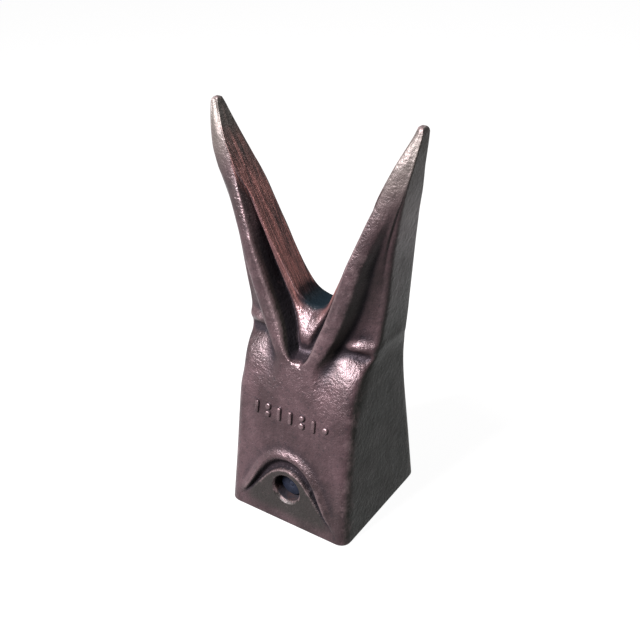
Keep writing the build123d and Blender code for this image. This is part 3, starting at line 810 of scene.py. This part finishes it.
class Finish:
    # a material's nodes with short ways to add a noise, a ramp, a mix or a bump
    def __init__(self, name):
        self.material = bpy.data.materials.new(name)
        self.material.use_nodes = True
        self.tree = self.material.node_tree
        self.shader = self.tree.nodes["Principled BSDF"]
        self.place = self.tree.nodes.new("ShaderNodeTexCoord").outputs["Object"]

    def add(self, kind, **settings):
        node = self.tree.nodes.new(kind)
        for key, value in settings.items():
            setattr(node, key, value)
        return node

    def join(self, a, b):
        self.tree.links.new(a, b)

    def noise(self, scale, detail=4.0, rough=0.55, place=None, distortion=0.0):
        node = self.add("ShaderNodeTexNoise")
        node.inputs["Scale"].default_value = scale
        node.inputs["Detail"].default_value = detail
        node.inputs["Roughness"].default_value = rough
        node.inputs["Distortion"].default_value = distortion
        self.join(place or self.place, node.inputs["Vector"])
        return node.outputs[0]

    def cells(self, scale):
        node = self.add("ShaderNodeTexVoronoi", feature="F1")
        node.inputs["Scale"].default_value = scale
        self.join(self.place, node.inputs["Vector"])
        return node.outputs["Distance"]

    def remap(self, value, lo, hi, outLo=0.0, outHi=1.0):
        node = self.add("ShaderNodeMapRange")
        for key, number in (("From Min", lo), ("From Max", hi), ("To Min", outLo), ("To Max", outHi)):
            node.inputs[key].default_value = number
        self.join(value, node.inputs["Value"])
        return node.outputs["Result"]

    def sum(self, a, b, kind="ADD"):
        node = self.add("ShaderNodeMath", operation=kind)
        for socketIn, value in zip(node.inputs, (a, b)):
            if isinstance(value, (int, float)):
                socketIn.default_value = value
            else:
                self.join(value, socketIn)
        return node.outputs[0]

    def fact(self, name, kind="Fac"):
        node = self.add("ShaderNodeAttribute", attribute_name=name)
        return node.outputs[kind]

    def mix(self, share, a, b, kind="MIX"):
        node = self.add("ShaderNodeMix", data_type="RGBA", blend_type=kind)
        self.join(share, node.inputs[0])
        for index, value in ((6, a), (7, b)):
            if isinstance(value, tuple):
                node.inputs[index].default_value = (*value, 1.0)
            else:
                self.join(value, node.inputs[index])
        return node.outputs[2]

    def bumps(self, *layers):
        # each layer is a height, its depth in metres and a strength
        last = None
        for height, depth, strength in layers:
            node = self.add("ShaderNodeBump")
            node.inputs["Distance"].default_value = depth
            node.inputs["Strength"].default_value = strength
            self.join(height, node.inputs["Height"])
            if last is not None:
                self.join(last, node.inputs["Normal"])
            last = node.outputs["Normal"]
        self.join(last, self.shader.inputs["Normal"])

    def to(self, name, value):
        if isinstance(value, (int, float)):
            self.shader.inputs[name].default_value = value
        elif isinstance(value, tuple):
            self.shader.inputs[name].default_value = (*value, 1.0)
        else:
            self.join(value, self.shader.inputs[name])


# Forging colours. Some stand in for light: side is painted shade on side faces, deep is painted shade in
# hollows and the bore as well as dark speckle, olive also paints shade on the pad, and bare also carries a
# painted highlight along the rails and band.
paint = {"wine": (0.0105, 0.0064, 0.0071), "plum": (0.0205, 0.0125, 0.0140),
         "olive": (0.0042, 0.0041, 0.0035),
         "side": (0.006, 0.008, 0.006), "deep": (0.003, 0.003, 0.004), "bare": (0.095, 0.070, 0.072),
         "tip": (0.022, 0.020, 0.0175), "wall": (0.125, 0.056, 0.050), "scale": (0.008, 0.007, 0.007),
         "rust": (0.030, 0.014, 0.008)}
forge = Finish("forgedPaint")
mottle = forge.noise(42.0, 5.0, 0.6)
speckle = forge.noise(520.0, 3.0, 0.6)
cloud = forge.noise(15.0, 3.0, 0.5)
colour = forge.mix(forge.remap(mottle, 0.38, 0.62), paint["wine"], paint["plum"])
colour = forge.mix(forge.remap(cloud, 0.52, 0.70, 0.0, 0.55), colour, paint["olive"])
colour = forge.mix(forge.remap(speckle, 0.56, 0.70, 0.0, 0.5), colour, paint["deep"])
# painted shade: faces turned to the sides are pulled to the darker, greener side colour, as the light falls
# on them less
colour = forge.mix(forge.sum(forge.fact("sideFaceShade"), 0.75, "MULTIPLY"), colour, paint["side"])
# painted shade: the upright pad is coloured darker and more olive, as for a face that takes less light
colour = forge.mix(forge.sum(forge.fact("pad"), 0.85, "MULTIPLY"), colour, paint["olive"])
streaks = forge.noise(0.9, 6.0, 0.65, place=forge.fact("wallPlace", "Vector"))
wallColour = forge.mix(forge.remap(streaks, 0.40, 0.60), paint["wine"], paint["wall"])
colour = forge.mix(forge.fact("gapWall"), colour, wallColour)
colour = forge.mix(forge.sum(forge.fact("strip"), 0.22, "MULTIPLY"), colour, paint["wall"])
tipMix = forge.sum(forge.fact("tipWear"), forge.remap(mottle, 0.35, 0.6, 0.45, 1.0), "MULTIPLY")
colour = forge.mix(tipMix, colour, paint["tip"])
# painted shade: hollows, the pocket and the groove under the brow are darkened towards the deep colour
colour = forge.mix(forge.remap(forge.fact("hollow"), 0.05, 0.75, 0.0, 0.8), colour, paint["deep"])
worn = forge.sum(forge.sum(forge.fact("edgeWear"), forge.remap(forge.fact("ridge"), 0.1, 0.9, 0.0, 0.04)),
                 forge.remap(forge.noise(170.0, 5.0, 0.7), 0.35, 0.65, -0.22, 0.22))
worn = forge.remap(worn, 0.16, 0.85)
# edge wear lightens towards bare metal; through the rail lines it also paints a highlight along the band
colour = forge.mix(forge.sum(worn, 0.6, "MULTIPLY"), colour, paint["bare"])
# painted shade and reflection: the crotch's upward floor is turned almost black with a teal tint, standing
# in for the dark surroundings it reflects
colour = forge.mix(forge.remap(forge.fact("crotch"), 0.1, 0.6, 0.0, 0.95), colour, (0.0012, 0.0024, 0.0032))
scaleColour = forge.mix(forge.remap(forge.noise(120.0, 5.0, 0.7), 0.45, 0.65), paint["scale"], paint["rust"])
colour = forge.mix(forge.fact("inside"), colour, scaleColour)
# painted shade: the bore's wall is darkened towards the deep colour, as shade inside the hole
colour = forge.mix(forge.sum(forge.fact("bore"), 0.85, "MULTIPLY"), colour, paint["deep"])
forge.to("Base Color", colour)
metal = forge.sum(forge.remap(worn, 0.0, 1.0, 0.55, 0.85),
                  forge.remap(forge.fact("inside"), 0.0, 1.0, 1.0, 0.25),
                  "MULTIPLY")
metal = forge.sum(metal, forge.remap(forge.fact("crotch"), 0.0, 0.7, 1.0, 0.0), "MULTIPLY")
forge.to("Metallic", metal)
shine = forge.sum(forge.remap(forge.fact("crotch"), 0.0, 1.0, 0.22, 0.02),
                  forge.remap(forge.fact("sideFaceShade"), 0.0, 1.0, 1.0, 0.35),
                  "MULTIPLY")
shine = forge.sum(shine, forge.remap(forge.fact("bore"), 0.0, 1.0, 1.0, 0.1), "MULTIPLY")
forge.to("Specular IOR Level",
         forge.sum(shine, forge.remap(forge.fact("hollow"), 0.0, 0.8, 1.0, 0.2), "MULTIPLY"))
rough = forge.remap(forge.noise(75.0, 5.0, 0.65), 0.3, 0.7, 0.31, 0.43)
rough = forge.sum(rough, forge.remap(forge.fact("hollow"), 0.0, 1.0, 0.0, 0.12))
rough = forge.sum(rough, forge.remap(forge.fact("inside"), 0.0, 1.0, 0.0, 0.3))
rough = forge.sum(rough, forge.remap(forge.fact("sideFaceShade"), 0.0, 1.0, 0.0, 0.1))
rough = forge.sum(rough, forge.remap(forge.fact("tipWear"), 0.0, 1.0, 0.0, 0.12))
rough = forge.sum(rough, forge.remap(forge.fact("bore"), 0.0, 1.0, 0.0, 0.3))
rough = forge.sum(rough, forge.remap(forge.fact("pad"), 0.0, 1.0, 0.0, 0.12))
forge.to("Roughness", rough)
pits = forge.remap(forge.cells(330.0), 0.10, 0.32)
lines = forge.sum(streaks, forge.fact("gapWall"), "MULTIPLY")
forge.bumps((forge.noise(70.0, 3.0, 0.5), 0.0007, 0.5), (forge.noise(280.0, 4.0, 0.6), 0.0007, 0.6),
            (forge.noise(800.0, 3.0, 0.6), 0.00034, 0.75), (pits, 0.00025, 0.35), (lines, 0.0012, 0.9))

# painted shade: the pin, seen only deep in the bore, is coloured near black with a blue tint so that it
# reads as the shade in the hole
shadedPin = Finish("shadedPinSteel")
pinMottle = shadedPin.noise(90.0, 5.0, 0.6)
shadedPin.to("Base Color", shadedPin.mix(shadedPin.remap(pinMottle, 0.4, 0.62), (0.0015, 0.0025, 0.005), (0.004, 0.005, 0.008)))
shadedPin.to("Metallic", 0.5)
shadedPin.to("Specular IOR Level", 0.04)
shadedPin.to("Roughness", shadedPin.remap(pinMottle, 0.3, 0.7, 0.60, 0.85))
shadedPin.bumps((shadedPin.noise(300.0, 4.0, 0.6), 0.0002, 0.4), (shadedPin.noise(1400.0, 2.0), 0.00006, 0.4))

pressed = Finish("pressedSteel")
stain = pressed.noise(160.0, 5.0, 0.6)
pressed.to("Base Color",
           pressed.mix(pressed.remap(stain, 0.4, 0.62), (0.42, 0.40, 0.33), (0.24, 0.22, 0.19)))
pressed.to("Metallic", 0.9)
pressed.to("Roughness", pressed.remap(stain, 0.3, 0.7, 0.28, 0.5))
pressed.bumps((pressed.noise(700.0, 3.0), 0.00006, 0.5), (stain, 0.0002, 0.3))

rubber = Finish("blackRubber")
dust = rubber.noise(140.0, 5.0, 0.65)
rubber.to("Base Color",
          rubber.mix(rubber.remap(dust, 0.42, 0.68), (0.018, 0.018, 0.019), (0.065, 0.060, 0.054)))
rubber.to("Roughness", rubber.remap(dust, 0.3, 0.7, 0.55, 0.8))
rubber.bumps((rubber.noise(1100.0, 3.0), 0.00008, 0.6), (dust, 0.0002, 0.3))

spring = Finish("springSteel")
tint = spring.noise(220.0, 4.0, 0.6)
spring.to("Base Color", spring.mix(spring.remap(tint, 0.4, 0.62), (0.20, 0.22, 0.27), (0.36, 0.33, 0.29)))
spring.to("Metallic", 0.95)
spring.to("Roughness", spring.remap(tint, 0.3, 0.7, 0.22, 0.42))
spring.bumps((spring.noise(900.0, 3.0), 0.00005, 0.5),)

pieces = [(tooth, forge, "tooth", "forging"), (tally, forge, "tooth", "forging"),
          (lockPin, shadedPin, "pin", "pin_steel"), (shell, pressed, "tooth", "washer_steel"),
          (cushion, rubber, "tooth", "cushion"), (springRing, spring, "tooth", "spring_steel")]
nodes = {"toothForging": "tooth_point", "lockPin": "lock_pin", "retainerShell": "retainer_shell",
         "retainerCushion": "retainer_cushion", "springRing": "spring_ring"}
for piece, finish, body, slotName in pieces:
    piece.data.materials.clear()
    piece.data.materials.append(finish.material)
    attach(piece, body)
    if piece.name in nodes:
        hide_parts(nodes[piece.name])
print("materials")

floor = newMesh("floor", [(-6, -6, 0), (6, -6, 0), (6, 6, 0), (-6, 6, 0)], np.array([[0, 1, 2, 3]]))
paper = Finish("paleFloor")
paper.to("Base Color", paper.mix(paper.noise(3.0), (0.010, 0.010, 0.010), (0.012, 0.012, 0.012)))
paper.to("Roughness", 0.9)
paper.to("Emission Color", (1.0, 1.0, 1.0))
paper.to("Emission Strength", 0.95)
floor.data.materials.append(paper.material)

# Soft studio light: a broad key high on the front left, a weaker one behind on the right.
lamps = [("key", (-0.33, -0.80, 0.82), 0.40, 215.0, (1.0, 0.92, 0.95)),
         ("back", (0.30, 0.60, 0.80), 0.4, 8.0, (1.0, 0.95, 0.95)),
         ("fill", (-0.9, -0.6, 0.45), 0.6, 3.0, (0.90, 1.0, 0.92))]
for name, at, size, power, tone in lamps:
    lamp = bpy.data.lights.new(name, "AREA")
    lamp.size = size
    lamp.energy = power
    lamp.color = tone
    holder = bpy.data.objects.new(name, lamp)
    bpy.context.scene.collection.objects.link(holder)
    holder.location = at
    holder.rotation_euler = (Vector((0, 0, 0.12)) - Vector(at)).to_track_quat("-Z", "Y").to_euler()
world = bpy.data.worlds.new("studio")
bpy.context.scene.world = world
world.use_nodes = True
world.node_tree.nodes["Background"].inputs[0].default_value = (1.0, 1.0, 1.0, 1.0)
world.node_tree.nodes["Background"].inputs[1].default_value = 0.22
bpy.context.scene.view_settings.view_transform = "Standard"

view = {"azimuth": 34.6, "elevation": 28.3, "roll": -1.41, "distance": 0.5067, "aimHeight": 0.1296,
        "lens": 45.96}
az, el, roll = (math.radians(view[k]) for k in ("azimuth", "elevation", "roll"))
back = Vector((math.sin(az) * math.cos(el), -math.cos(az) * math.cos(el), math.sin(el)))
right = (-back).cross(Vector((0, 0, 1))).normalized()
up = right.cross(-back)
right, up = right * math.cos(roll) + up * math.sin(roll), up * math.cos(roll) - right * math.sin(roll)
lens = bpy.data.cameras.new("camera")
lens.lens = view["lens"]
lens.sensor_width = 36.0
camera = bpy.data.objects.new("camera", lens)
bpy.context.scene.collection.objects.link(camera)
camera.matrix_world = Matrix.Translation(Vector((0, 0, view["aimHeight"])) + back * view["distance"]) @ \
    Matrix((right, up, back)).transposed().to_4x4()
bpy.context.scene.camera = camera
print("studio")
